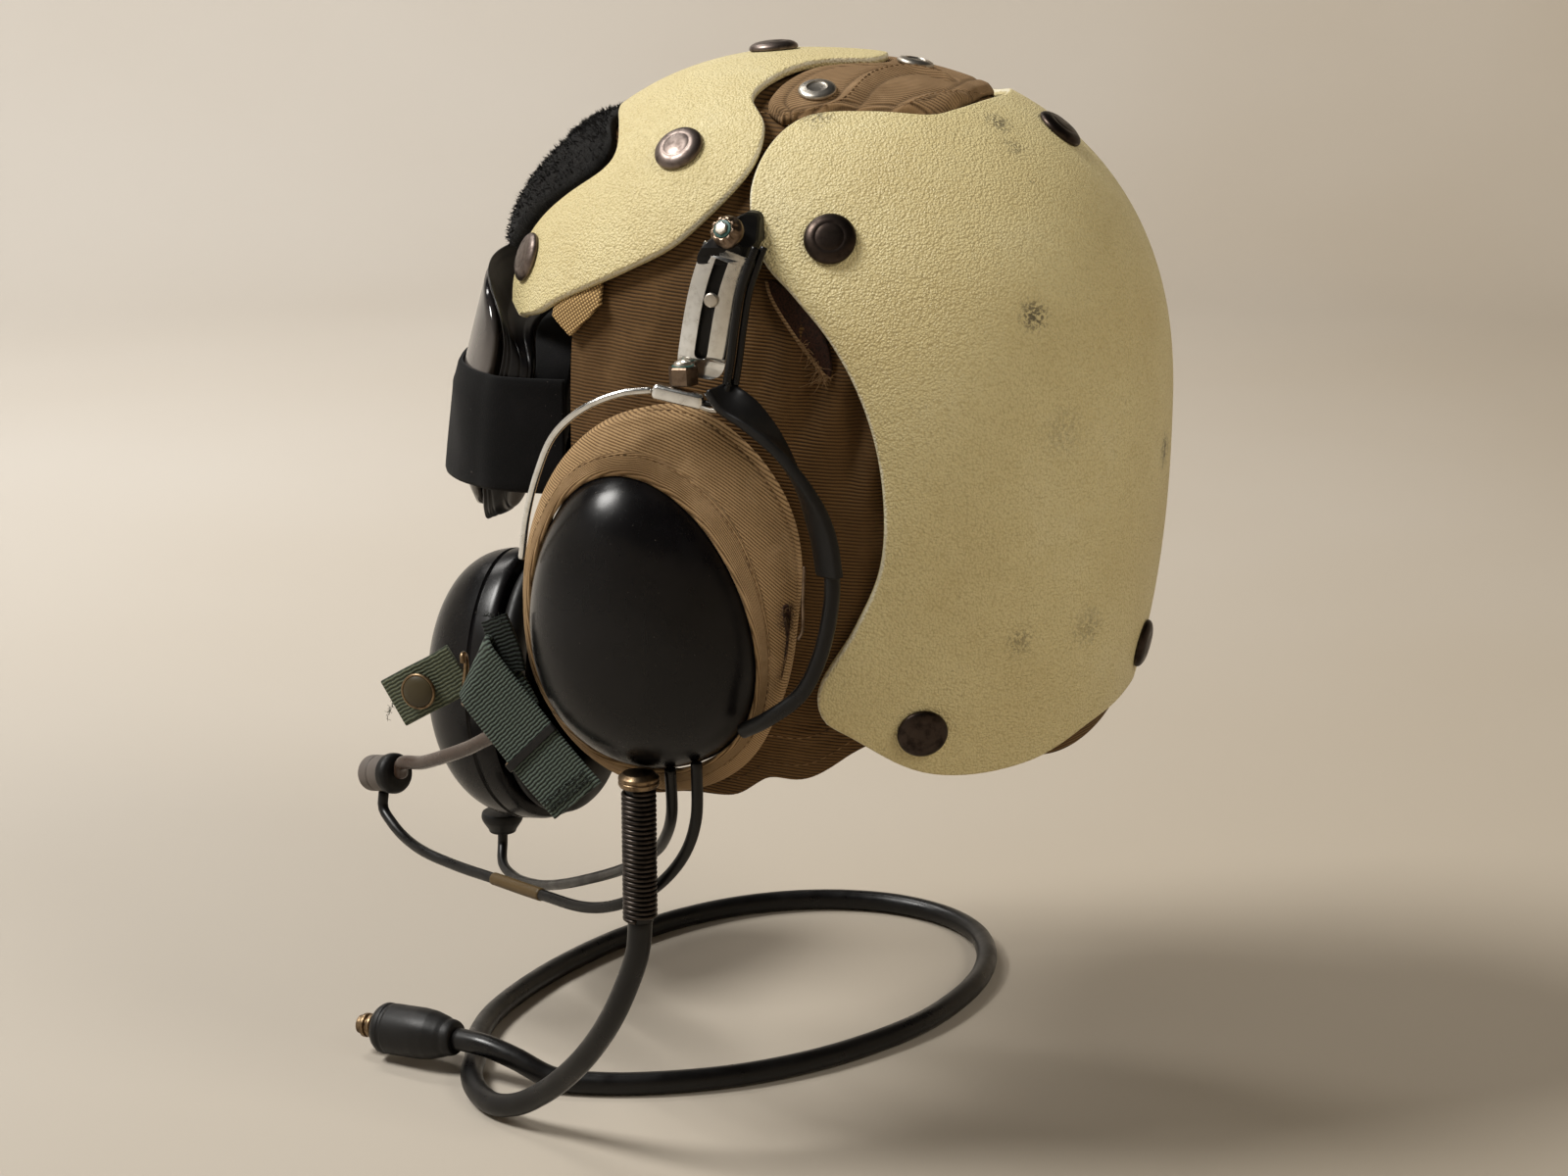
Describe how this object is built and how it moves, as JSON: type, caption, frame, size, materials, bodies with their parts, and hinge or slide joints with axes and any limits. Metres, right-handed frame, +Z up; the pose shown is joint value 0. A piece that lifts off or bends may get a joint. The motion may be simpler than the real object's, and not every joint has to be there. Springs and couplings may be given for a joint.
{
  "type": "flight deck helmet",
  "caption": "Cloth-capped flight deck helmet with front and back hard shells, an ear-cup headset with microphone, goggles, a chin strap and a loose cord with a plug.",
  "frame": {"origin": "inside of the cap's crown, where it rests on the top of the wearer's head", "axes": "+Z up, -Y the way the wearer faces, +X the wearer's left"},
  "size_m": [0.2841, 0.2908, 0.3633],
  "materials": {
    "shell": "pebbled",
    "cloth": "ribbed, worn",
    "mesh": "woven",
    "bronze": "dark, worn",
    "nickel": "satin",
    "chrome": "polished",
    "brass": "aged",
    "gloss_black": "polished",
    "rubber": "satin",
    "pile": "deep pile",
    "neoprene": "smooth, matte",
    "lens": "polished",
    "brown_tube": "glossy",
    "grey_plastic": "satin",
    "webbing": "ribbed"
  },
  "bodies": {
    "root": {"back_shell": "shell", "front_shell": "shell", "front_snap_1": "bronze", "front_snap_2": "bronze", "front_snap_3": "bronze", "front_snap_4": "bronze", "front_snap_5": "bronze", "back_snap_1": "bronze", "back_snap_2": "bronze", "back_snap_3": "bronze", "back_snap_4": "bronze", "back_snap_5": "bronze", "back_snap_6": "bronze", "crown_snap_1": "nickel", "crown_snap_2": "nickel", "crown_snap_3": "nickel", "cap": "cloth", "crown_flap": "cloth", "near_mesh_tab": "mesh", "forehead_pad": "pile", "near_ear_cup": "gloss_black", "near_ear_seal": "rubber", "near_ear_pocket": "cloth", "far_ear_cup": "gloss_black", "far_ear_seal": "rubber", "far_flap": "cloth", "near_slider_block": "rubber", "far_slider_block": "rubber", "near_slider_plate": "chrome", "far_slider_plate": "chrome", "block_nut": "nickel", "yoke_nut": "nickel", "yoke_clip": "chrome", "near_yoke_wire": "chrome", "far_yoke_wire": "rubber", "band_tube": "rubber", "sleeve_arm": "rubber", "lower_tube": "rubber", "cord_ring": "brass", "cord_spring": "rubber", "far_grommet": "rubber", "mic_boom": "brown_tube", "mic_body": "grey_plastic", "mic_cap": "rubber", "mic_cord": "rubber", "cross_cord": "rubber", "main_cord": "rubber", "plug_body": "rubber", "plug_tip": "brass", "goggle_frame": "gloss_black", "goggle_seal": "pile", "goggle_lens": "lens", "goggle_cover": "neoprene", "chin_strap": "webbing", "strap_keeper": "rubber", "strap_buckle": "nickel", "strap_tail": "webbing", "strap_snap": "bronze"}
  },
  "joints": []
}
